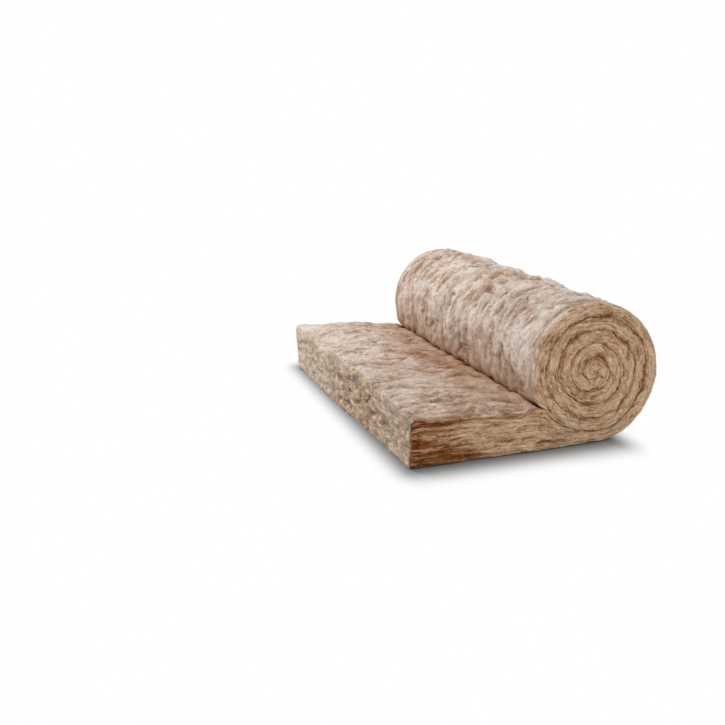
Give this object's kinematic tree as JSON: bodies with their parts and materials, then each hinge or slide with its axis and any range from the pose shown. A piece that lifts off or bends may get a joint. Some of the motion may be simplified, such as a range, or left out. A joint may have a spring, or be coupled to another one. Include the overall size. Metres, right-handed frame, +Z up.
{
  "type": "insulation roll",
  "caption": "Unfaced mineral wool insulation blanket, partly unrolled: a flat run on the floor that leads under a tight roll whose wound turns show on both ends.",
  "frame": {"origin": "on the floor, under the middle of the whole blanket's box", "axes": "+X along the blanket from the cut end towards the roll, +Y across the blanket's width along the roll's axis, +Z up"},
  "size_m": [0.7507, 1.2, 0.4042],
  "materials": {
    "mineral_wool": "matt, fibrous, layered brown and beige wool"
  },
  "bodies": {
    "root": {"wool_blanket": "mineral_wool"}
  },
  "joints": []
}
